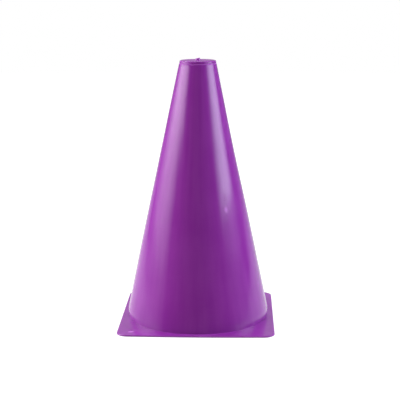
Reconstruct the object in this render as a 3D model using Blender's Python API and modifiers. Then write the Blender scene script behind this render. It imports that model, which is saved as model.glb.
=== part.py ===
"""A soccer training cone in soft purple plastic, 230 mm tall on a 136 mm square foot plate.

The real cone is one hollow injection moulding, open underneath. It is modelled as the features
that a person would name, each its own closed solid: the square foot plate, the tapered wall, the
rounded cap that closes the top, and the stub that the moulding gate left in the middle of the cap.
They stack along +Z, with the ground at z = 0 and the cone's axis on the Z axis.

Lengths are in metres.
"""

import math

import bpy
from mathutils import Vector

MM = 0.001

# The cone as a whole
PLATE_SIDE = 136.0 * MM
CONE_HEIGHT = 230.0 * MM        # ground to the flat top, without the stub
CROWN_RADIUS = 15.6 * MM        # where the wall's outer line meets the plane of the flat top
FOOT_MARGIN = 4.5 * MM          # strip of plate left outside the wall at the middle of each side
WALL_THICKNESS = 1.2 * MM       # measured square to the sloping wall
SEAT_GAP = 0.3 * MM             # clearance where one solid rests on the next

# Foot plate
PLATE_THICKNESS = 1.4 * MM
PLATE_CORNER_RADIUS = 9.5 * MM
PLATE_EDGE_RADIUS = 0.3 * MM

# Tapered wall
ROOT_HEIGHT = 0.7 * MM          # the wall spreads a little where it meets the plate
ROOT_REACH = 0.5 * MM
SEAM_EDGE_RADIUS = 0.5 * MM     # soft lips above and below the seam line

# Cap
CAP_DEPTH = 3.2 * MM            # flat top down to the seam line
CAP_ROOF_THICKNESS = 1.4 * MM
SHOULDER_RADIUS = 1.8 * MM

# Stub
STUB_HEIGHT = 2.1 * MM
STUB_FOOT_RADIUS = 2.3 * MM
STUB_TIP_RADIUS = 1.4 * MM
STUB_TIP_ROUNDING = 0.5 * MM

# Cutters run this far past what they cut
OVERRUN = 5.0 * MM

# Fineness of the facets
TURNED_STEPS = 128
STUB_STEPS = 48
CORNER_STEPS = 12
FILLET_STEPS = 5
EDGE_SEGMENTS = 2
MERGE_DISTANCE = 0.01 * MM
CREASE_ANGLE = math.radians(30)

# Finish
PURPLE = (0.242, 0.027, 0.305, 1.0)
WALL_ROUGHNESS = 0.3
CAP_ROUGHNESS = 0.35
PLATE_ROUGHNESS = 0.22
STUB_ROUGHNESS = 0.5


# Shape of the hollow taper, shared by the plate, the wall and the cap

def foot_radius():
    """Outer radius of the wall where it stands on the plate."""
    return PLATE_SIDE / 2 - FOOT_MARGIN


def taper():
    """How much the radius grows for each unit of length down the cone."""
    return (foot_radius() - CROWN_RADIUS) / (CONE_HEIGHT - PLATE_THICKNESS)


def outer_radius(z):
    return CROWN_RADIUS + taper() * (CONE_HEIGHT - z)


def inner_radius(z):
    return outer_radius(z) - WALL_THICKNESS * math.hypot(1.0, taper())


def seam_height():
    """Height of the fine line where the cap ends and the wall begins."""
    return CONE_HEIGHT - CAP_DEPTH


# Outlines

def fillet(before, corner, after, radius, steps):
    """Points of the arc that rounds a corner between two straight lines."""
    to_before = (before - corner).normalized()
    to_after = (after - corner).normalized()
    half_angle = to_before.angle(to_after) / 2
    reach = radius / math.tan(half_angle)
    centre = corner + (to_before + to_after).normalized() * radius / math.sin(half_angle)
    first = (corner + to_before * reach - centre).normalized()
    last = (corner + to_after * reach - centre).normalized()
    return [centre + radius * first.slerp(last, i / steps) for i in range(steps + 1)]


def rounded_outline(corners, steps):
    """Points of an outline given as corners (x, y, radius); a radius of 0 keeps the corner sharp."""
    points = []
    for i, (x, y, radius) in enumerate(corners):
        corner = Vector((x, y))
        if radius:
            before = Vector(corners[i - 1][:2])
            after = Vector(corners[(i + 1) % len(corners)][:2])
            points += fillet(before, corner, after, radius, steps)
        else:
            points.append(corner)
    return points


# Scene, material and mesh helpers

def clear_scene():
    for obj in list(bpy.data.objects):
        bpy.data.objects.remove(obj, do_unlink=True)


def new_collection(name):
    collection = bpy.data.collections.new(name)
    bpy.context.scene.collection.children.link(collection)
    return collection


def purple_plastic(name, roughness):
    material = bpy.data.materials.new(name)
    material.use_nodes = True
    shader = material.node_tree.nodes["Principled BSDF"]
    shader.inputs["Base Color"].default_value = PURPLE
    shader.inputs["Roughness"].default_value = roughness
    shader.inputs["Metallic"].default_value = 0.0
    material.diffuse_color = PURPLE
    return material


def turned(name, profile, collection, closed=False, steps=TURNED_STEPS):
    """A solid turned about the Z axis from (r, z) points that run down its outer side.

    A closed profile makes a ring. An open one starts and ends on the axis.
    """
    mesh = bpy.data.meshes.new(name)
    edges = [(i, i + 1) for i in range(len(profile) - 1)]
    if closed:
        edges.append((len(profile) - 1, 0))
    mesh.from_pydata([(r, 0.0, z) for r, z in profile], edges, [])
    obj = bpy.data.objects.new(name, mesh)
    collection.objects.link(obj)
    screw = obj.modifiers.new("turn", "SCREW")
    screw.axis = "Z"
    screw.steps = steps
    screw.render_steps = steps
    screw.use_merge_vertices = True
    screw.merge_threshold = MERGE_DISTANCE
    return obj


def flat_outline(name, points, thickness, collection):
    """A filled 2D curve, its lower face at z = 0."""
    curve = bpy.data.curves.new(name, "CURVE")
    curve.dimensions = "2D"
    curve.fill_mode = "BOTH"
    curve.extrude = thickness / 2
    spline = curve.splines.new("POLY")
    spline.points.add(len(points) - 1)
    for point, (x, y) in zip(spline.points, points):
        point.co = (x, y, 0.0, 1.0)
    spline.use_cyclic_u = True
    obj = bpy.data.objects.new(name, curve)
    obj.location.z = thickness / 2
    collection.objects.link(obj)
    return obj


def as_mesh(obj, collection):
    """Replaces an object by the mesh that its modifiers or its curve make of it."""
    bpy.context.view_layer.update()
    graph = bpy.context.evaluated_depsgraph_get()
    mesh = bpy.data.meshes.new_from_object(obj.evaluated_get(graph))
    name = obj.name
    matrix = obj.matrix_world.copy()
    bpy.data.objects.remove(obj, do_unlink=True)
    made = bpy.data.objects.new(name, mesh)
    mesh.name = name
    made.matrix_world = matrix
    collection.objects.link(made)
    return made


def finished(obj, material, collection):
    """The object with its modifiers applied, its round faces smooth, its creases kept."""
    made = as_mesh(obj, collection)
    made.data.shade_smooth()
    made.data.set_sharp_from_angle(angle=CREASE_ANGLE)
    made.data.materials.clear()
    made.data.materials.append(material)
    return made


def as_cutter(obj):
    obj.hide_render = True
    obj.display_type = "WIRE"
    return obj


# The solids, from the ground up

def make_hollow_cutter(cutters):
    """The inner taper of the wall, carried on through the plate to below the ground."""
    top = PLATE_THICKNESS + OVERRUN
    bottom = -OVERRUN
    profile = [(0.0, top), (inner_radius(top), top), (inner_radius(bottom), bottom), (0.0, bottom)]
    return as_cutter(turned("hollow_cutter", profile, cutters))


def make_foot_plate(parts, cutters):
    """The square plate with rounded corners, open in the middle as wide as the wall is inside."""
    half = PLATE_SIDE / 2
    corners = [
        (half, half, PLATE_CORNER_RADIUS),
        (-half, half, PLATE_CORNER_RADIUS),
        (-half, -half, PLATE_CORNER_RADIUS),
        (half, -half, PLATE_CORNER_RADIUS),
    ]
    outline = rounded_outline(corners, CORNER_STEPS)
    plate = as_mesh(flat_outline("foot_plate", outline, PLATE_THICKNESS, parts), parts)
    weld = plate.modifiers.new("close the faces", "WELD")
    weld.merge_threshold = MERGE_DISTANCE
    edges = plate.modifiers.new("soft edges", "BEVEL")
    edges.width = PLATE_EDGE_RADIUS
    edges.segments = EDGE_SEGMENTS
    edges.limit_method = "ANGLE"
    edges.angle_limit = CREASE_ANGLE
    opening = plate.modifiers.new("open middle", "BOOLEAN")
    opening.operation = "DIFFERENCE"
    opening.object = make_hollow_cutter(cutters)
    return finished(plate, purple_plastic("foot_plate_plastic", PLATE_ROUGHNESS), parts)


def make_cone_wall(parts):
    """The tapered wall, a ring that stands on the plate and carries the cap."""
    top = seam_height() - SEAT_GAP
    foot = PLATE_THICKNESS + SEAT_GAP
    root = foot + ROOT_HEIGHT
    corners = [
        (outer_radius(top), top, SEAM_EDGE_RADIUS),
        (outer_radius(root), root, 0.0),
        (outer_radius(foot) + ROOT_REACH, foot, 0.0),
        (inner_radius(foot), foot, 0.0),
        (inner_radius(top), top, 0.0),
    ]
    wall = turned("cone_wall", rounded_outline(corners, FILLET_STEPS), parts, closed=True)
    return finished(wall, purple_plastic("cone_wall_plastic", WALL_ROUGHNESS), parts)


def make_top_cap(parts):
    """The closed top, a shallow inverted cup that carries on the wall's taper above the seam."""
    seam = seam_height()
    roof = CONE_HEIGHT - CAP_ROOF_THICKNESS
    corners = [
        (0.0, CONE_HEIGHT, 0.0),
        (CROWN_RADIUS, CONE_HEIGHT, SHOULDER_RADIUS),
        (outer_radius(seam), seam, SEAM_EDGE_RADIUS),
        (inner_radius(seam), seam, 0.0),
        (inner_radius(roof), roof, 0.0),
        (0.0, roof, 0.0),
    ]
    cap = turned("top_cap", rounded_outline(corners, FILLET_STEPS), parts)
    return finished(cap, purple_plastic("top_cap_plastic", CAP_ROUGHNESS), parts)


def make_gate_stub(parts):
    """The short tapered stub in the middle of the cap, where the plastic was fed in."""
    foot = CONE_HEIGHT + SEAT_GAP
    tip = CONE_HEIGHT + STUB_HEIGHT
    corners = [
        (0.0, tip, 0.0),
        (STUB_TIP_RADIUS, tip, STUB_TIP_ROUNDING),
        (STUB_FOOT_RADIUS, foot, 0.0),
        (0.0, foot, 0.0),
    ]
    stub = turned("gate_stub", rounded_outline(corners, FILLET_STEPS), parts, steps=STUB_STEPS)
    return finished(stub, purple_plastic("gate_stub_plastic", STUB_ROUGHNESS), parts)


def main():
    clear_scene()
    parts = new_collection("training_cone")
    cutters = new_collection("cutters")
    make_foot_plate(parts, cutters)
    make_cone_wall(parts)
    make_top_cap(parts)
    make_gate_stub(parts)


main()
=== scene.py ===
"""The look of a soccer training cone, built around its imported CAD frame.

The cone is one hollow moulding in glossy purple plastic. Each CAD solid is replaced by a piece with
the real surface: the foot plate, the tapered wall, the cap and the sheared gate stub. It stands
on a white floor between two tall soft lights, as in the photograph.

Lengths are in metres. The camera looks along +Y, so its left is -X.
"""

import math

import bpy
from mathutils import Matrix, Vector, noise


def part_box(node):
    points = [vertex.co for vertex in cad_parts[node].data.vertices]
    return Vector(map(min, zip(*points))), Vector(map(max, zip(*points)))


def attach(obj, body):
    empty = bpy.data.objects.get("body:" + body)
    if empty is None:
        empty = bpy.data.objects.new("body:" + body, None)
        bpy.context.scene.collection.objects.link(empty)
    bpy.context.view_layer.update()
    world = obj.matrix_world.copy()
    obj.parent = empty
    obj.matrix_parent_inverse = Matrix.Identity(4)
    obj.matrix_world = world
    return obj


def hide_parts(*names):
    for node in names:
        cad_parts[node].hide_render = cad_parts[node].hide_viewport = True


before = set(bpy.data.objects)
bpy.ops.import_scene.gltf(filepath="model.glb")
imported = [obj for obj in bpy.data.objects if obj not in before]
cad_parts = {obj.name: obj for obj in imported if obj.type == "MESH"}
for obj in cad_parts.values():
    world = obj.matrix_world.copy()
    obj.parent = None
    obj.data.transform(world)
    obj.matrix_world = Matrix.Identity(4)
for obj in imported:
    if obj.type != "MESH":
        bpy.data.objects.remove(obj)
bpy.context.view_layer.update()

MM = 0.001

# Camera, fitted to the outline and the plate's corners in the photograph
EYE = Vector((37.48, -978.78, 303.7)) * MM
AIM = Vector((2.1, 0.08, 105.7)) * MM
ROLL = -0.0033                  # radians
SENSOR = 36.0                   # millimetres, as Blender counts it
PHOTO_SIDE_PX = 400
FOCAL_LENGTH_PX = 1119.0
CLIP_START = 0.01
CLIP_END = 20.0

# Sizes that the frame gives
PLATE_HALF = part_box("foot_plate")[1].x
PLATE_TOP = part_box("foot_plate")[1].z
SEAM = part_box("top_cap")[0].z
FLAT_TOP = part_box("top_cap")[1].z
STUB_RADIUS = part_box("gate_stub")[1].x
STUB_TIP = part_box("gate_stub")[1].z

# Foot plate
PLATE_CORNER_RADIUS = 9.5 * MM
PLATE_TOP_EDGE = 0.75 * MM      # rounding of the upper edge
PLATE_FOOT_EDGE = 0.25 * MM     # rounding of the lower edge
PARTING_RIDGE = 0.06 * MM       # the mould's parting line stands this proud of the edge
PARTING_WIDTH = 0.18 * MM
PLATE_WARP = 0.22 * MM
WARP_LENGTH = 70.0 * MM
WARP_RUN = 22.0 * MM            # the warp grows to its full height this far from the wall
FRONT_BOW = 1.0 * MM            # the front edge bulges toward the camera in its middle
FRONT_BOW_START = 62.0 * MM     # in front of the cone's axis
DENT_PLACE = Vector((-55.6, -53.6)) * MM        # near the front left corner
DENT_TURN = math.radians(22)
DENT_SIZE = Vector((3.6, 2.4)) * MM
DENT_DEPTH = 0.4 * MM
BURR_PLACE = Vector((-55.8, -58.8)) * MM        # raised rim on the dent's near side
BURR_SIZE = Vector((3.2, 1.0)) * MM
BURR_HEIGHT = 0.5 * MM
BURR_SPOT_SIZE = Vector((4.8, 3.4, 3.0)) * MM   # the painted glint colour on and round the rim, on a rubbed, rougher finish

# Wall
ROOT_FILLET = 0.25 * MM
FOOT_TUCK = 1.8 * MM            # the foot is drawn in this far at the camera's left and right
TUCK_HEIGHT = 7.0 * MM          # above the plate
TUCK_POWER = 4                  # keeps the tuck to the sides
EMBED = 0.02 * MM               # the wall's foot reaches this far into the plate
WALL_LIP = 0.08 * MM            # rounded ledge that the wall leaves outside the cap
BELLY = 0.75 * MM               # the lower wall stands this far outside the true cone
BELLY_AT_TOP = 0.15 * MM
BELLY_FULL = 75.0 * MM          # the belly is full up to this height
BELLY_END = 165.0 * MM          # and least from this height on
LEAN = 0.66 * MM                # the top drifts this far to the camera's right
LEAN_START = 140.0 * MM
RIPPLE = 0.07 * MM
RIPPLE_LENGTH = 26.0 * MM

# Scuffed patch in the wall's right highlight, with a pale spot at its lower end: a painted
# highlight there, on a scraped, rougher finish
SCUFF_PLACE = Vector((25.2, -32.4, 110.0)) * MM
SCUFF_TURN = math.radians(-55)
SCUFF_SIZE = Vector((4.0, 3.0, 12.0)) * MM      # across the wall, round it, up it
SCRAPE_GLINT_PLACE = Vector((25.8, -33.9, 104.0)) * MM
SCRAPE_GLINT_SIZE = Vector((3.0, 3.0, 5.0)) * MM

# Cap
SHOULDER_RADIUS = 1.1 * MM
BEVEL_START = 0.25 * MM         # the cap steps in along a bevel this far above the seam
BEVEL_END = 0.85 * MM
BEVEL_DEPTH = 0.3 * MM
BEVEL_ROUNDING = 0.1 * MM
CROWN_RADIUS = 15.75 * MM
CAP_ROOF = 1.4 * MM
ROOF_FILLET = 0.8 * MM
GATE_WELL_RADIUS = 4.6 * MM     # shallow ring round the stub
GATE_WELL_WIDTH = 1.2 * MM
GATE_WELL_DEPTH = 0.12 * MM

# Painted highlight along the cap's bevel above the seam, in a rubbed band with a rougher finish,
# and one small sag of that band at the camera's left
RUB_HIGHLIGHT_START = 0.2 * MM            # above the seam
RUB_HIGHLIGHT_START_BLUR = 0.1 * MM
RUB_HIGHLIGHT_END = 1.0 * MM
RUB_HIGHLIGHT_END_BLUR = 0.15 * MM
HIGHLIGHT_SAG_PLACE = Vector((-3.4, -15.8, 226.9)) * MM
HIGHLIGHT_SAG_SIZE = Vector((2.4, 3.0, 3.0)) * MM
HIGHLIGHT_SAG_DROP = 0.6 * MM           # the band of painted highlight sags this far at the sag

# Stub, sheared off on a slant that rises to the camera's right
STUB_NECK_SHARE = 0.8           # of the stub's radius
STUB_ROOT_SHARE = 0.87
STUB_LOW_SHARE = 0.75           # of the stub's height
STUB_HIGH_SHARE = 0.95
STUB_SLANT_START = 0.1          # shares of the stub's width
STUB_SLANT_END = 0.85
STUB_TIP_ROUNDING = 0.4 * MM
STUB_ROOT_FILLET = 0.3 * MM
TEAR_HEIGHT = 0.3 * MM
TEAR_LENGTH = 2.0 * MM
TEAR_SQUEEZE = 3                # the tear's bumps are this much narrower than high

# Fineness of the meshes
TURNED_STEPS = 384
STUB_STEPS = 72
FILLET_STEPS = 8
WALL_ROW = 2.5 * MM
CAP_ROW = 0.6 * MM
STUB_ROW = 0.25 * MM
SIDE_STEPS = 168
CORNER_STEPS = 24
PLATE_RINGS = 48
CREASE_ANGLE = math.radians(35)
ON_AXIS = 0.0001 * MM           # a point this near to the axis is on it
ON_TOP = 0.01 * MM              # a point this near to the flat top is on it

# Colours
DEEP_PURPLE = (0.230, 0.023, 0.291, 1.0)
PALE_PURPLE = (0.254, 0.032, 0.317, 1.0)
# painted highlight of the rubbed seam band
SEAM_HIGHLIGHT_PURPLE = (0.32, 0.055, 0.40, 1.0)
# painted sheen that lightens the plate's edge and all below it
EDGE_SHEEN_PURPLE = (0.33, 0.075, 0.41, 1.0)
# painted glint on the dent's rim and on the wall's scrape, both rubbed and rougher
RUBBED_GLINT_PURPLE = (0.50, 0.15, 0.60, 1.0)
STRESSED_PURPLE = (0.56, 0.22, 0.62, 1.0)
FLOOR_BOUNCE = (0.51, 0.51, 0.46, 1.0)
FLOOR_SHADE = (0.25, 0.25, 0.25, 1.0)
WHITE = (1.0, 1.0, 1.0, 1.0)
LEFT_TINT = (1.0, 1.0, 0.98, 1.0)
RIGHT_TINT = (0.94, 1.0, 1.1, 1.0)

# Finish: roughness runs from clean plastic to much handled plastic
REFRACTION = 1.5
PLATE_ROUGHNESS = (0.05, 0.1)
WALL_ROUGHNESS = (0.11, 0.16)
CAP_ROUGHNESS = (0.22, 0.3)
STUB_ROUGHNESS = (0.5, 0.7)
WORN_ROUGHNESS = 0.5
PLATE_PEEL = 0.004 * MM         # height of the orange peel
WALL_PEEL = 0.006 * MM
CAP_PEEL = 0.01 * MM
PEEL_LENGTH = 1.6 * MM
CLOUD_LENGTH = 34.0 * MM
CLOUD_SHARE = 0.45              # of the pigment's noise, where the rest is streaks
STREAK_WIDTH = 0.16             # of the radius
STREAK_LENGTH = 90.0 * MM
HANDLED_LENGTH = 16.0 * MM
EDGE_WEAR_AND_SHEEN_END = 0.1 * MM        # below the plate's top face
PIT_LENGTH = 1.3 * MM
FINE_PITS = (0.68, 0.76)        # noise levels where a pit starts and where it is deepest
FINE_PIT_DEPTH = 0.02 * MM
SCUFF_PITS = (0.56, 0.66)
SCUFF_PIT_DEPTH = 0.14 * MM
GRAIN_LENGTH = 0.7 * MM         # of the torn plastic
GRAIN_HEIGHT = 0.08 * MM

# A ramp is (start, end, value before, value after), and a range is its start and end
TINT_RAMP = (0.36, 0.64, 0.0, 1.0)
HANDLED_RANGE = (0.4, 0.68)
STRESS_BY_HEIGHT = (FLAT_TOP - 0.8 * MM, FLAT_TOP + 1.0 * MM, 0.3, 0.45)
STRESS_BY_GRAIN = (0.4, 0.65, 0.4, 0.95)
GRAIN_RANGE = (0.3, 0.7)

# World: its strength, and in the cone's gloss its ramps by where a ray points
CAMERA_WHITE = 1.0
AMBIENT = 0.03
BACKDROP_BY_HEIGHT = (0.06, 0.22, 0.18, 0.45)
BACKDROP_BY_DEPTH = (0.2, 0.75, 0.0, 1.0)
REAR_BY_DEPTH = (0.3, 0.75, 0.0, 1.0)
REAR_BY_SIDE = (-0.5, -0.15, 0.6, 0.0)          # brighter to the left
REAR_BY_HEIGHT = (0.1, 0.22, 0.0, 1.0)
OVERHEAD_BY_HEIGHT = (0.6, 0.85, 0.03, 0.7)

# Floor, with ramps by the distance from the cone's axis
FLOOR_HALF = 2.5
FLOOR_DROP = 0.02 * MM
FLOOR_IN_VIEW = (0.2, 0.9, 0.93, 1.0)
FLOOR_GLOSS_NEAR = (0.08, 0.2, 0.2, 0.0)
FLOOR_GLOSS_FAR = (0.2, 0.7, 0.5, 0.37)

# Light cards. A turn is degrees round from straight toward the camera, positive to its left.
CARD_DISTANCE = 1.0
CARD_HEIGHT = 0.75
CARD_TOP_FADE = (0.56, 0.72, 1.0, 0.0)          # by height

# Left card: its glow grows in steps with height. Its inner side is the one near the camera.
LEFT_TURN = 84.0
LEFT_REACH = (1.1, 1.1)         # from the card's middle to its inner and outer side
LEFT_STEPS = (
    (0.08, 0.14, 0.6, 1.7),
    (0.15, 0.29, 0.0, 1.4),
    (0.29, 0.38, 0.0, 1.9),
)
LEFT_INNER_DARK = (0.37, 0.46, -0.65, -0.95)    # where the inner side is dark, by height
LEFT_INNER_BRIGHT = (0.37, 0.46, -0.1, -0.2)
LEFT_OUTER_FADE = (0.1, 1.1, 1.0, 0.1)

# Right card: it has a crisp, slightly tilted foot with a faint skirt below
RIGHT_TURN = -80.0
RIGHT_REACH = (0.62, 0.75)
RIGHT_GLOW = 5.5
RIGHT_INNER_FADE = (-0.62, -0.04, 0.0, 1.0)
RIGHT_OUTER_BRIGHT = (0.28, 0.42, 0.06, 0.16)   # where the outer side is bright, by height
RIGHT_OUTER_DARK = (0.28, 0.42, 0.58, 0.75)
RIGHT_TILT = 0.076
RIGHT_FOOT = (0.22, 0.246, 0.0, 1.0)
RIGHT_SKIRT = (0.1, 0.22, 0.04, 0.13)           # a straight ramp

# Lamps: name, turn, distance, height, size, watts, tint, seen in the cone's gloss
LAMP_AIM = Vector((0.0, 0.0, 0.1))
LAMPS = (
    ("left_fill", 93.0, 0.9, 0.3, 0.4, 6.8, WHITE, False),
    ("right_fill", -100.0, 0.9, 0.3, 0.4, 3.6, RIGHT_TINT, False),
    ("right_high", -90.0, 0.7, 0.9, 0.4, 3.9, RIGHT_TINT, False),
    ("front_high", 60.0, 0.6, 1.2, 0.5, 3.0, WHITE, False),
    ("top_lamp", 0.0, 0.1, 1.2, 0.8, 5.0, WHITE, False),
    ("back_lamp", 180.0, 1.0, 1.4, 0.8, 8.4, WHITE, False),
    ("back_left", 140.0, 1.0, 1.2, 0.6, 6.0, WHITE, True),
)


# Outlines

def fillet(before, corner, after, radius):
    """Points of the arc that rounds a corner between two straight lines."""
    to_before = (before - corner).normalized()
    to_after = (after - corner).normalized()
    half_angle = to_before.angle(to_after) / 2
    reach = radius / math.tan(half_angle)
    centre = corner + (to_before + to_after).normalized() * radius / math.sin(half_angle)
    first = (corner + to_before * reach - centre).normalized()
    last = (corner + to_after * reach - centre).normalized()
    shares = [i / FILLET_STEPS for i in range(FILLET_STEPS + 1)]
    return [centre + radius * first.slerp(last, share) for share in shares]


def rounded_outline(corners):
    """Points of an outline given as corners (r, z, radius); radius 0 keeps a corner sharp."""
    points = []
    for i, (r, z, radius) in enumerate(corners):
        corner = Vector((r, z))
        if radius:
            before = Vector(corners[i - 1][:2])
            after = Vector(corners[(i + 1) % len(corners)][:2])
            points += fillet(before, corner, after, radius)
        else:
            points.append(corner)
    return points


def with_rows(points, step, closed):
    """The outline with more points along its long straight runs."""
    made = []
    last = len(points) if closed else len(points) - 1
    for i in range(last):
        start = points[i]
        end = points[(i + 1) % len(points)]
        count = max(1, round((end - start).length / step))
        made += [start.lerp(end, k / count) for k in range(count)]
    if not closed:
        made.append(points[-1])
    return made


# Sizes read from the CAD solids

def side_radius(node, z, from_outside):
    """Radius of a turned CAD solid's outer or inner side at a height."""
    beside = 0.1 * MM            # off the facets' shared edge
    if from_outside:
        start = Vector((1.0, beside, z))
        direction = Vector((-1.0, 0.0, 0.0))
    else:
        start = Vector((0.0, beside, z))
        direction = Vector((1.0, 0.0, 0.0))
    hit, place, _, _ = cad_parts[node].ray_cast(start, direction)
    if not hit:
        raise RuntimeError(f"no side found on {node} at {z}")
    return place.x


def side_line(from_outside):
    """The straight line of the wall's side, as a function from height to radius."""
    low = 20.0 * MM
    high = 200.0 * MM
    low_radius = side_radius("cone_wall", low, from_outside)
    high_radius = side_radius("cone_wall", high, from_outside)
    slope = (high_radius - low_radius) / (high - low)
    return lambda z: low_radius + slope * (z - low)


outer_radius = side_line(from_outside=True)
inner_radius = side_line(from_outside=False)


# Meshes

def smooth(edge0, edge1, x):
    """0 before edge0, 1 past edge1, a soft slope in between."""
    t = min(1.0, max(0.0, (x - edge0) / (edge1 - edge0)))
    return t * t * (3 - 2 * t)


def unevenness(x, y, z, length):
    """Smooth noise of about -0.5 to 0.5 with bumps of the given length."""
    return noise.noise(Vector((x, y, z)) / length)


def mesh_object(name, points, faces, material):
    """An object in the scene, its round faces smooth and its creases kept."""
    mesh = bpy.data.meshes.new(name)
    mesh.from_pydata([tuple(p) for p in points], [], faces)
    mesh.validate()
    mesh.shade_smooth()
    mesh.set_sharp_from_angle(angle=CREASE_ANGLE)
    mesh.materials.append(material)
    obj = bpy.data.objects.new(name, mesh)
    bpy.context.scene.collection.objects.link(obj)
    return obj


def ring_faces(upper, lower, count):
    """Faces between two rings of vertices, given by their first indices, that look outward."""
    found = []
    for k in range(count):
        n = (k + 1) % count
        found.append((upper + k, lower + k, lower + n, upper + n))
    return found


def pole_faces(pole, ring, count, pole_first):
    """Faces from a vertex on the axis to a ring, below it if the pole comes first."""
    found = []
    for k in range(count):
        n = (k + 1) % count
        found.append((pole, ring + k, ring + n) if pole_first else (ring + k, pole, ring + n))
    return found


def turned(name, outline, closed, steps, place, material):
    """A solid turned about the Z axis from (r, z) points that run down its outer side.

    place(r, z, angle) gives a vertex. An open outline starts and ends on the axis.
    """
    points = []
    starts = []
    for r, z in outline:
        starts.append(len(points))
        if r < ON_AXIS:
            points.append(place(0.0, z, 0.0))
        else:
            points += [place(r, z, 2 * math.pi * k / steps) for k in range(steps)]
    faces = []
    pairs = list(zip(range(len(outline) - 1), range(1, len(outline))))
    if closed:
        pairs.append((len(outline) - 1, 0))
    for upper, lower in pairs:
        if outline[upper][0] < ON_AXIS:
            faces += pole_faces(starts[upper], starts[lower], steps, pole_first=True)
        elif outline[lower][0] < ON_AXIS:
            faces += pole_faces(starts[lower], starts[upper], steps, pole_first=False)
        else:
            faces += ring_faces(starts[upper], starts[lower], steps)
    return mesh_object(name, points, faces, material)


def dress(piece, node):
    """Hangs a piece on the root body and hides the CAD solid that it stands for."""
    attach(piece, "root")
    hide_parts(node)


# Wall

def belly(z):
    """How far the wall stands outside the true cone at a height."""
    return BELLY + (BELLY_AT_TOP - BELLY) * smooth(BELLY_FULL, BELLY_END, z)


def lean(z):
    """How far the middle of the wall drifts along +X at a height."""
    share = max(0.0, (z - LEAN_START) / (FLAT_TOP - LEAN_START))
    return LEAN * share * share


def tuck(angle):
    """How far the wall's foot is drawn in at an angle round the cone."""
    return FOOT_TUCK * math.cos(angle) ** TUCK_POWER


def soft_point(r, z, angle):
    """A point of the thin turned moulding, which isn't quite a true cone after it cools."""
    x = r * math.cos(angle)
    y = r * math.sin(angle)
    low = min(1.0, max(0.0, 1 - (z - PLATE_TOP) / TUCK_HEIGHT))
    push = belly(z) - tuck(angle) * low * low + RIPPLE * unevenness(x, y, z, RIPPLE_LENGTH)
    return Vector((lean(z) + (r + push) * math.cos(angle), (r + push) * math.sin(angle), z))


def make_wall(material):
    """The tapered wall with its root fillet on the plate and a soft lip under the cap."""
    foot = PLATE_TOP - EMBED
    root = fillet(
        Vector((outer_radius(SEAM), SEAM)),
        Vector((outer_radius(foot), foot)),
        Vector((PLATE_HALF, foot)),
        ROOT_FILLET,
    )
    outline = rounded_outline([
        (outer_radius(SEAM), SEAM, WALL_LIP),
        *[(point.x, point.y, 0.0) for point in root],
        (root[-1].x, foot - EMBED, 0.0),
        (inner_radius(foot), foot - EMBED, 0.0),
        (inner_radius(SEAM), SEAM, 0.0),
    ])
    outline = with_rows(outline, WALL_ROW, closed=True)
    wall = turned("wall_shell", outline, True, TURNED_STEPS, soft_point, material)
    dress(wall, "cone_wall")


# Cap

def cap_point(r, z, angle):
    """A point of the cap, with the shallow well that the gate left in the flat top."""
    point = soft_point(r, z, angle)
    if z > FLAT_TOP - ON_TOP:
        ring = (r - GATE_WELL_RADIUS) / GATE_WELL_WIDTH
        point.z -= GATE_WELL_DEPTH * math.exp(-ring * ring)
    return point


def make_cap(material):
    """The closed top: flat, with a rounded shoulder and a bevel above the seam."""
    roof = FLAT_TOP - CAP_ROOF
    side = outer_radius(SEAM) - WALL_LIP
    outline = rounded_outline([
        (0.0, FLAT_TOP, 0.0),
        (CROWN_RADIUS, FLAT_TOP, SHOULDER_RADIUS),
        (side - BEVEL_DEPTH, SEAM + BEVEL_END, BEVEL_ROUNDING),
        (side, SEAM + BEVEL_START, BEVEL_ROUNDING),
        (side, SEAM - EMBED, 0.0),
        (inner_radius(SEAM), SEAM - EMBED, 0.0),
        (inner_radius(roof), roof, ROOF_FILLET),
        (0.0, roof, 0.0),
    ])
    outline = with_rows(outline, CAP_ROW, closed=False)
    cap = turned("cap_shell", outline, False, TURNED_STEPS, cap_point, material)
    dress(cap, "top_cap")


# Stub

def stub_point(r, z, angle):
    """A point of the stub, cut off along a slant and roughly torn."""
    x = r * math.cos(angle)
    y = r * math.sin(angle)
    height = STUB_TIP - FLAT_TOP
    across = 0.5 + 0.5 * x / STUB_RADIUS
    slant = smooth(STUB_SLANT_START, STUB_SLANT_END, across)
    share = STUB_LOW_SHARE + (STUB_HIGH_SHARE - STUB_LOW_SHARE) * slant
    torn = TEAR_HEIGHT * unevenness(x * TEAR_SQUEEZE, y * TEAR_SQUEEZE, z, TEAR_LENGTH)
    top = FLAT_TOP + height * share
    lift = (z - FLAT_TOP) / height
    raised = FLAT_TOP + (top - FLAT_TOP) * lift + torn * max(0.0, lift)
    return Vector((lean(FLAT_TOP) + x, y, raised))


def make_stub(material):
    """The short stub of plastic left where the moulding was cut from its feed."""
    foot = FLAT_TOP - EMBED
    neck = STUB_RADIUS * STUB_NECK_SHARE
    root = STUB_RADIUS * STUB_ROOT_SHARE
    outline = rounded_outline([
        (0.0, STUB_TIP, 0.0),
        (neck, STUB_TIP, STUB_TIP_ROUNDING),
        (root, FLAT_TOP, STUB_ROOT_FILLET),
        (STUB_RADIUS, FLAT_TOP, 0.0),
        (STUB_RADIUS, foot, 0.0),
        (0.0, foot, 0.0),
    ])
    outline = with_rows(outline, STUB_ROW, closed=False)
    stub = turned("sheared_stub", outline, False, STUB_STEPS, stub_point, material)
    dress(stub, "gate_stub")


# Foot plate

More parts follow.
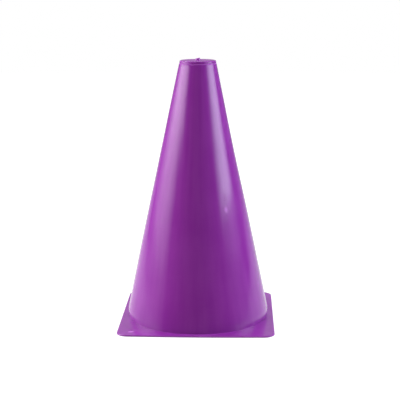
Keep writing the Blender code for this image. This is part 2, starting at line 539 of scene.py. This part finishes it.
def rounded_square(half, radius):
    """Points round a square with rounded corners, the same number for every size of it."""
    points = []
    reach = half - radius
    for quarter in range(4):
        turn = Matrix.Rotation(quarter * math.pi / 2, 2)
        side = [Vector((half, reach * (2 * k / SIDE_STEPS - 1))) for k in range(SIDE_STEPS)]
        corner = []
        for k in range(CORNER_STEPS):
            angle = math.pi / 2 * k / CORNER_STEPS
            x = reach + radius * math.cos(angle)
            y = reach + radius * math.sin(angle)
            corner.append(Vector((x, y)))
        points += [turn @ p for p in side + corner]
    return points


def plate_edge_profile():
    """(inset, z) points of the plate's edge, from its top face down to its underside."""
    angles = [math.pi / 2 * k / FILLET_STEPS for k in range(FILLET_STEPS + 1)]
    points = []
    for angle in angles:
        inset = PLATE_TOP_EDGE * (1 - math.sin(angle))
        points.append((inset, PLATE_TOP - PLATE_TOP_EDGE * (1 - math.cos(angle))))
    parting = (PLATE_TOP - PLATE_TOP_EDGE + PLATE_FOOT_EDGE) / 2
    points.append((0.0, parting + PARTING_WIDTH / 2))
    points.append((-PARTING_RIDGE, parting))
    points.append((0.0, parting - PARTING_WIDTH / 2))
    for angle in angles:
        inset = PLATE_FOOT_EDGE * (1 - math.cos(angle))
        points.append((inset, PLATE_FOOT_EDGE * (1 - math.sin(angle))))
    return points


def plate_lift(x, y):
    """How far the thin plate stands off the ground outside the wall, where it warped a little."""
    clear = math.hypot(x, y) - outer_radius(PLATE_TOP) - BELLY - 2 * ROOT_FILLET
    wave = 0.5 + unevenness(x, y, 0.0, WARP_LENGTH)
    return PLATE_WARP * max(0.0, wave) * smooth(0.0, WARP_RUN, clear)


def mound(x, y, middle, size):
    """1 at a place on the plate, falling off smoothly along and across the dent's direction."""
    offset = Matrix.Rotation(-DENT_TURN, 2) @ (Vector((x, y)) - middle)
    along = offset.x / size.x
    across = offset.y / size.y
    return math.exp(-along * along - across * across)


def relief(x, y):
    """The knock in the top face: a shallow dent with a raised rim on one side."""
    burr = BURR_HEIGHT * mound(x, y, BURR_PLACE, BURR_SIZE)
    return burr - DENT_DEPTH * mound(x, y, DENT_PLACE, DENT_SIZE)


def plate_point(x, y, z):
    """A point of the plate with its bowed front edge, its warp and its dent."""
    top_share = z / PLATE_TOP
    across = x / PLATE_HALF
    bow = FRONT_BOW * smooth(FRONT_BOW_START, PLATE_HALF, -y) * (1 - across * across)
    return Vector((x, y - bow, z + plate_lift(x, y) + relief(x, y) * top_share))


def hole_point(toward, z):
    """The point on the edge of the open middle that lies toward a point of the plate's rim."""
    angle = math.atan2(toward.y, toward.x)
    return toward.normalized() * (inner_radius(z) + BELLY - tuck(angle))


def plate_rings():
    """The plate's rings of points: out over its top, down its edge and back in underneath."""
    rings = []

    def add_ring(flat_points, z):
        rings.append([plate_point(p.x, p.y, z) for p in flat_points])

    edge = plate_edge_profile()
    rim = rounded_square(PLATE_HALF - edge[0][0], PLATE_CORNER_RADIUS - edge[0][0])
    floor_rim = rounded_square(PLATE_HALF - edge[-1][0], PLATE_CORNER_RADIUS - edge[-1][0])
    for k in range(PLATE_RINGS):
        share = k / PLATE_RINGS
        add_ring([hole_point(p, PLATE_TOP).lerp(p, share) for p in rim], PLATE_TOP)
    for inset, z in edge:
        add_ring(rounded_square(PLATE_HALF - inset, PLATE_CORNER_RADIUS - inset), z)
    for k in range(1, PLATE_RINGS + 1):
        share = 1 - k / PLATE_RINGS
        add_ring([hole_point(p, 0.0).lerp(p, share) for p in floor_rim], 0.0)
    return rings


def make_plate(material):
    """The square foot plate, a thin sheet with rounded edges round the open middle."""
    rings = plate_rings()
    count = len(rings[0])
    points = [p for ring in rings for p in ring]
    faces = []
    for i in range(len(rings)):
        upper = i * count
        lower = (i + 1) % len(rings) * count
        faces += ring_faces(upper, lower, count)
    plate = mesh_object("plate_sheet", points, faces, material)
    dress(plate, "foot_plate")


# Materials

class Graph:
    """A short way to add shader nodes and link them."""

    def __init__(self, tree):
        self.tree = tree
        tree.nodes.clear()

    def node(self, kind, inputs=None, **settings):
        """A new node. Each input is given a value, or the output of another node."""
        made = self.tree.nodes.new(kind)
        for name, value in settings.items():
            setattr(made, name, value)
        for socket, value in (inputs or {}).items():
            if isinstance(value, bpy.types.NodeSocket):
                self.tree.links.new(value, made.inputs[socket])
            else:
                made.inputs[socket].default_value = value
        return made

    def math(self, operation, a, b):
        return self.node("ShaderNodeMath", {0: a, 1: b}, operation=operation).outputs[0]

    def add(self, a, b):
        return self.math("ADD", a, b)

    def multiply(self, a, b):
        return self.math("MULTIPLY", a, b)

    def remap(self, value, low, high, new_low, new_high, kind="SMOOTHSTEP"):
        inputs = {0: value, 1: low, 2: high, 3: new_low, 4: new_high}
        return self.node("ShaderNodeMapRange", inputs, interpolation_type=kind).outputs[0]

    def blend(self, share, a, b):
        """Between two numbers."""
        return self.node("ShaderNodeMix", {0: share, 2: a, 3: b}).outputs[0]

    def mix(self, share, a, b):
        """Between two colours."""
        inputs = {0: share, 6: a, 7: b}
        return self.node("ShaderNodeMix", inputs, data_type="RGBA").outputs[2]

    def noise(self, vector, length, detail=2.0, roughness=0.5):
        inputs = {"Vector": vector, "Scale": 1 / length, "Detail": detail, "Roughness": roughness}
        return self.node("ShaderNodeTexNoise", inputs).outputs[0]

    def place(self):
        """Where a point lies on its object, which stands where it was modelled."""
        return self.node("ShaderNodeTexCoord").outputs["Object"]

    def parts(self, vector):
        """The x, y and z of a vector."""
        return self.node("ShaderNodeSeparateXYZ", {0: vector}).outputs

    def length(self, vector):
        return self.node("ShaderNodeVectorMath", {0: vector}, operation="LENGTH").outputs["Value"]


def new_graph(name):
    material = bpy.data.materials.new(name)
    material.use_nodes = True
    return material, Graph(material.node_tree)


def plastic_surface(graph, colour, roughness, bump):
    """Ends a material's graph in plastic."""
    shader = graph.node("ShaderNodeBsdfPrincipled", {
        "Base Color": colour,
        "Roughness": roughness,
        "Normal": bump.outputs[0],
    })
    shader.inputs["IOR"].default_value = REFRACTION
    graph.node("ShaderNodeOutputMaterial", {0: shader.outputs[0]})


def flow_noise(graph, place):
    """Noise in long streaks that run down from the gate, as the plastic flowed in the mould."""
    x, y, z = graph.parts(place)
    level = graph.node("ShaderNodeCombineXYZ", {0: x, 1: y})
    outward = graph.node("ShaderNodeVectorMath", {0: level.outputs[0]}, operation="NORMALIZE")
    inputs = {0: outward.outputs[0], 3: 1 / STREAK_WIDTH}
    sized = graph.node("ShaderNodeVectorMath", inputs, operation="SCALE")
    round_parts = graph.parts(sized.outputs[0])
    down = graph.multiply(z, 1 / STREAK_LENGTH)
    inputs = {0: round_parts[0], 1: round_parts[1], 2: down}
    vector = graph.node("ShaderNodeCombineXYZ", inputs).outputs[0]
    return graph.noise(vector, 1.0, detail=3.0)


def spot(graph, place, where, turn, size):
    """1 at a place on the object, falling to 0 at the edge of an ellipsoid of half sizes."""
    frame_of_spot = graph.node("ShaderNodeMapping", {
        "Vector": place,
        "Location": where,
        "Rotation": (0.0, 0.0, turn),
        "Scale": size,
    }, vector_type="TEXTURE")
    return graph.remap(graph.length(frame_of_spot.outputs[0]), 0.0, 1.0, 1.0, 0.0)


def pits(graph, place, levels, depth):
    """Small scattered pits, as heights in metres."""
    grain = graph.noise(place, PIT_LENGTH, detail=0.0)
    return graph.remap(grain, *levels, 0.0, -depth)


def wall_marks(graph, place):
    """Fine pits all over the wall, and coarse ones in the scuffed patch."""
    fine = pits(graph, place, FINE_PITS, FINE_PIT_DEPTH)
    scuff = spot(graph, place, SCUFF_PLACE, SCUFF_TURN, SCUFF_SIZE)
    coarse = pits(graph, place, SCUFF_PITS, SCUFF_PIT_DEPTH)
    return graph.add(fine, graph.multiply(coarse, scuff))


def plate_rub_and_sheen(graph, place):
    """1 on the plate's edge and below it, and on the rim beside its dent, and the colour there: a
    painted sheen on the edge and a painted glint on the rim, both with a rougher worn finish.
    """
    where = (BURR_PLACE.x, BURR_PLACE.y, PLATE_TOP)
    knocked_glint = spot(graph, place, where, DENT_TURN, BURR_SPOT_SIZE)
    height = graph.parts(place)[2]
    edge = graph.remap(height, PLATE_TOP - PLATE_TOP_EDGE, PLATE_TOP - EDGE_WEAR_AND_SHEEN_END, 1.0, 0.0)
    wear_and_painted_light = graph.math("MAXIMUM", knocked_glint, edge)
    return wear_and_painted_light, graph.mix(knocked_glint, EDGE_SHEEN_PURPLE, RUBBED_GLINT_PURPLE)


def seam_rub_and_highlight(graph, place):
    """1 on the cap's rubbed bevel band and on its sag down the wall, and the colour there: a
    painted highlight, with a rougher finish.
    """
    highlight_sag = spot(graph, place, HIGHLIGHT_SAG_PLACE, 0.0, HIGHLIGHT_SAG_SIZE)
    level = graph.add(graph.parts(place)[2], graph.multiply(highlight_sag, HIGHLIGHT_SAG_DROP))
    low = SEAM + RUB_HIGHLIGHT_START
    high = SEAM + RUB_HIGHLIGHT_END
    start = graph.remap(level, low - RUB_HIGHLIGHT_START_BLUR, low + RUB_HIGHLIGHT_START_BLUR, 0.0, 1.0)
    end = graph.remap(level, high - RUB_HIGHLIGHT_END_BLUR, high + RUB_HIGHLIGHT_END_BLUR, 1.0, 0.0)
    return graph.multiply(start, end), SEAM_HIGHLIGHT_PURPLE


def wall_rub_and_highlight(graph, place):
    """1 on the seam's band of painted highlight with its sag, and on the scraped spot below the
    scuff, which carries a painted pale highlight; and the colour there.
    """
    seam, _ = seam_rub_and_highlight(graph, place)
    scrape_glint = spot(graph, place, SCRAPE_GLINT_PLACE, SCUFF_TURN, SCRAPE_GLINT_SIZE)
    return graph.math("MAXIMUM", seam, scrape_glint), graph.mix(scrape_glint, SEAM_HIGHLIGHT_PURPLE, RUBBED_GLINT_PURPLE)


def moulded_plastic(name, roughness_range, peel_height, wear_and_painted_light_marks, streaked=False, marks=None):
    """Glossy purple plastic: clouded pigment, flow streaks, handled patches and orange peel."""
    material, graph = new_graph(name)
    place = graph.place()
    clouds = graph.noise(place, CLOUD_LENGTH, detail=3.0)
    if streaked:
        streaks = graph.multiply(flow_noise(graph, place), 1 - CLOUD_SHARE)
        clouds = graph.add(graph.multiply(clouds, CLOUD_SHARE), streaks)
    plain = graph.mix(graph.remap(clouds, *TINT_RAMP), DEEP_PURPLE, PALE_PURPLE)

    handled = graph.noise(place, HANDLED_LENGTH, detail=4.0, roughness=0.6)
    unworn_roughness = graph.remap(handled, *HANDLED_RANGE, *roughness_range)
    # where the marks lie, a painted highlight, sheen or glint colour replaces the pigment, and the
    # finish turns rougher
    wear_and_painted_light, wear_and_painted_light_colour = wear_and_painted_light_marks(graph, place)
    colour = graph.mix(wear_and_painted_light, plain, wear_and_painted_light_colour)
    roughness = graph.blend(wear_and_painted_light, unworn_roughness, WORN_ROUGHNESS)

    height = graph.multiply(graph.noise(place, PEEL_LENGTH, detail=1.0), peel_height)
    if marks:
        height = graph.add(height, marks(graph, place))
    bump = graph.node("ShaderNodeBump", {"Strength": 1.0, "Distance": 1.0, "Height": height})
    plastic_surface(graph, colour, roughness, bump)
    return material


def sheared_plastic(name):
    """The stub: dull, a little whitened where the plastic was torn."""
    material, graph = new_graph(name)
    place = graph.place()
    grain = graph.noise(place, GRAIN_LENGTH, detail=4.0, roughness=0.65)
    rise = graph.remap(graph.parts(place)[2], *STRESS_BY_HEIGHT)
    white = graph.multiply(rise, graph.remap(grain, *STRESS_BY_GRAIN))
    colour = graph.mix(white, DEEP_PURPLE, STRESSED_PURPLE)
    roughness = graph.remap(grain, *GRAIN_RANGE, *STUB_ROUGHNESS)
    inputs = {"Strength": 1.0, "Distance": GRAIN_HEIGHT, "Height": grain}
    bump = graph.node("ShaderNodeBump", inputs)
    plastic_surface(graph, colour, roughness, bump)
    return material


# Stage

def make_world():
    """White behind the cone for the camera; a pale backdrop and a dim room in its gloss."""
    world = bpy.data.worlds.new("studio")
    bpy.context.scene.world = world
    world.use_nodes = True
    world.cycles.sampling_method = "NONE"
    graph = Graph(world.node_tree)
    direction = graph.node("ShaderNodeTexCoord").outputs["Generated"]
    side, depth, height = graph.parts(direction)
    backdrop = graph.remap(height, *BACKDROP_BY_HEIGHT)
    behind = graph.multiply(graph.remap(depth, *BACKDROP_BY_DEPTH), backdrop)
    rear = graph.multiply(graph.remap(depth, *REAR_BY_DEPTH), graph.remap(side, *REAR_BY_SIDE))
    rear_left = graph.multiply(rear, graph.remap(height, *REAR_BY_HEIGHT))
    overhead = graph.remap(height, *OVERHEAD_BY_HEIGHT)
    gloss = graph.add(graph.add(behind, rear_left), overhead)
    path = graph.node("ShaderNodeLightPath").outputs
    level = graph.blend(path["Is Glossy Ray"], AMBIENT, gloss)
    seen = graph.math("MAXIMUM", path["Is Camera Ray"], path["Is Transmission Ray"])
    strength = graph.blend(seen, level, CAMERA_WHITE)
    background = graph.node("ShaderNodeBackground", {"Strength": strength})
    background.inputs["Color"].default_value = WHITE
    graph.node("ShaderNodeOutputWorld", {0: background.outputs[0]})


def make_floor():
    """A white floor: it bounces light onto the cone, and shows white with the cone's faint shadow.

    In the cone's gloss it is bright close by and dim further off.
    """
    material, graph = new_graph("white_floor")
    away = graph.length(graph.place())
    in_view = graph.remap(away, *FLOOR_IN_VIEW)
    in_gloss = graph.add(graph.remap(away, *FLOOR_GLOSS_NEAR), graph.remap(away, *FLOOR_GLOSS_FAR))
    path = graph.node("ShaderNodeLightPath").outputs
    glow_level = graph.blend(path["Is Camera Ray"], in_gloss, in_view)
    glow = graph.node("ShaderNodeEmission", {"Strength": glow_level})
    shade = graph.node("ShaderNodeBsdfDiffuse", {"Color": FLOOR_SHADE})
    shown = graph.node("ShaderNodeAddShader", {0: shade.outputs[0], 1: glow.outputs[0]})
    bounce = graph.node("ShaderNodeBsdfDiffuse", {"Color": FLOOR_BOUNCE})
    seen = graph.math("MAXIMUM", path["Is Camera Ray"], path["Is Glossy Ray"])
    inputs = {0: seen, 1: bounce.outputs[0], 2: shown.outputs[0]}
    mixed = graph.node("ShaderNodeMixShader", inputs)
    graph.node("ShaderNodeOutputMaterial", {0: mixed.outputs[0]})
    corners = [(-1, -1), (1, -1), (1, 1), (-1, 1)]
    points = [(x * FLOOR_HALF, y * FLOOR_HALF, -FLOOR_DROP) for x, y in corners]
    floor = mesh_object("floor", points, [(0, 1, 2, 3)], material)


def stand_card(name, turn, reach, material):
    """An upright card that faces the cone and lights it, unseen by the camera.

    The card's own +X runs to its outer side, the one farther from the camera.
    """
    inner, outer = reach
    points = [
        (-inner, 0.0, 0.0),
        (outer, 0.0, 0.0),
        (outer, 0.0, CARD_HEIGHT),
        (-inner, 0.0, CARD_HEIGHT),
    ]
    card = mesh_object(name, points, [(0, 1, 2, 3)], material)
    angle = math.radians(turn)
    card.location = (-math.sin(angle) * CARD_DISTANCE, -math.cos(angle) * CARD_DISTANCE, 0.0)
    card.rotation_euler.z = math.pi - angle if turn > 0 else -angle
    card.visible_camera = False


def card_glow(graph, tint, strength):
    """Ends a card's graph in light."""
    emission = graph.node("ShaderNodeEmission", {"Color": tint, "Strength": strength})
    graph.node("ShaderNodeOutputMaterial", {0: emission.outputs[0]})


def make_left_light():
    """A tall soft light whose glow dims in steps toward the floor and fades at its sides."""
    material, graph = new_graph("left_light")
    across, _, height = graph.parts(graph.place())
    low, middle, high = [graph.remap(height, *step) for step in LEFT_STEPS]
    level = graph.add(graph.add(low, middle), high)
    dark = graph.remap(height, *LEFT_INNER_DARK)
    bright = graph.remap(height, *LEFT_INNER_BRIGHT)
    inner = graph.remap(across, dark, bright, 0.0, 1.0)
    outer = graph.remap(across, *LEFT_OUTER_FADE)
    top = graph.remap(height, *CARD_TOP_FADE)
    share = graph.multiply(graph.multiply(inner, outer), top)
    card_glow(graph, LEFT_TINT, graph.multiply(level, share))
    stand_card("left_light", LEFT_TURN, LEFT_REACH, material)


def make_right_light():
    """A tall soft light with faded sides and a crisp lower edge."""
    material, graph = new_graph("right_light")
    across, _, height = graph.parts(graph.place())
    inner = graph.remap(across, *RIGHT_INNER_FADE)
    bright = graph.remap(height, *RIGHT_OUTER_BRIGHT)
    dark = graph.remap(height, *RIGHT_OUTER_DARK)
    outer = graph.remap(across, bright, dark, 1.0, 0.0)
    top = graph.remap(height, *CARD_TOP_FADE)
    sides = graph.multiply(graph.multiply(inner, outer), top)
    tilted = graph.add(height, graph.multiply(across, RIGHT_TILT))
    foot = graph.remap(tilted, *RIGHT_FOOT)
    skirt = graph.remap(height, *RIGHT_SKIRT, kind="LINEAR")
    share = graph.multiply(sides, graph.math("MAXIMUM", foot, skirt))
    card_glow(graph, RIGHT_TINT, graph.multiply(share, RIGHT_GLOW))
    stand_card("right_light", RIGHT_TURN, RIGHT_REACH, material)


def hang_lamp(name, turn, distance, height, size, watts, tint, in_gloss):
    """A square soft lamp aimed at the cone, as a rule unseen in its gloss."""
    lamp = bpy.data.lights.new(name, "AREA")
    lamp.size = size
    lamp.energy = watts
    lamp.color = tint[:3]
    hung = bpy.data.objects.new(name, lamp)
    angle = math.radians(turn)
    place = Vector((-math.sin(angle) * distance, -math.cos(angle) * distance, height))
    hung.location = place
    hung.visible_glossy = in_gloss
    hung.rotation_euler = (LAMP_AIM - place).to_track_quat("-Z", "Y").to_euler()
    bpy.context.scene.collection.objects.link(hung)


def make_lights():
    make_left_light()
    make_right_light()
    for lamp in LAMPS:
        hang_lamp(*lamp)


def make_camera():
    """The photograph's camera, rolled a little about its line of sight."""
    forward = (AIM - EYE).normalized()
    right = forward.cross(Vector((0.0, 0.0, 1.0))).normalized()
    up = right.cross(forward)
    sine = math.sin(ROLL)
    cosine = math.cos(ROLL)
    turned_right = right * cosine + up * sine
    turned_up = up * cosine - right * sine
    data = bpy.data.cameras.new("camera")
    data.sensor_fit = "HORIZONTAL"
    data.sensor_width = SENSOR
    data.lens = SENSOR * FOCAL_LENGTH_PX / PHOTO_SIDE_PX
    data.clip_start = CLIP_START
    data.clip_end = CLIP_END
    camera = bpy.data.objects.new("camera", data)
    bpy.context.scene.collection.objects.link(camera)
    axes = Matrix((turned_right, turned_up, -forward)).transposed()
    camera.matrix_world = Matrix.Translation(EYE) @ axes.to_4x4()
    bpy.context.scene.camera = camera


def main():
    make_plate(moulded_plastic("plate_finish", PLATE_ROUGHNESS, PLATE_PEEL, plate_rub_and_sheen))
    wall_finish = moulded_plastic(
        "wall_finish", WALL_ROUGHNESS, WALL_PEEL, wall_rub_and_highlight, streaked=True, marks=wall_marks,
    )
    make_wall(wall_finish)
    make_cap(moulded_plastic("cap_finish", CAP_ROUGHNESS, CAP_PEEL, seam_rub_and_highlight))
    make_stub(sheared_plastic("stub_finish"))
    make_world()
    make_floor()
    make_lights()
    make_camera()
    bpy.context.scene.view_settings.view_transform = "Standard"


main()
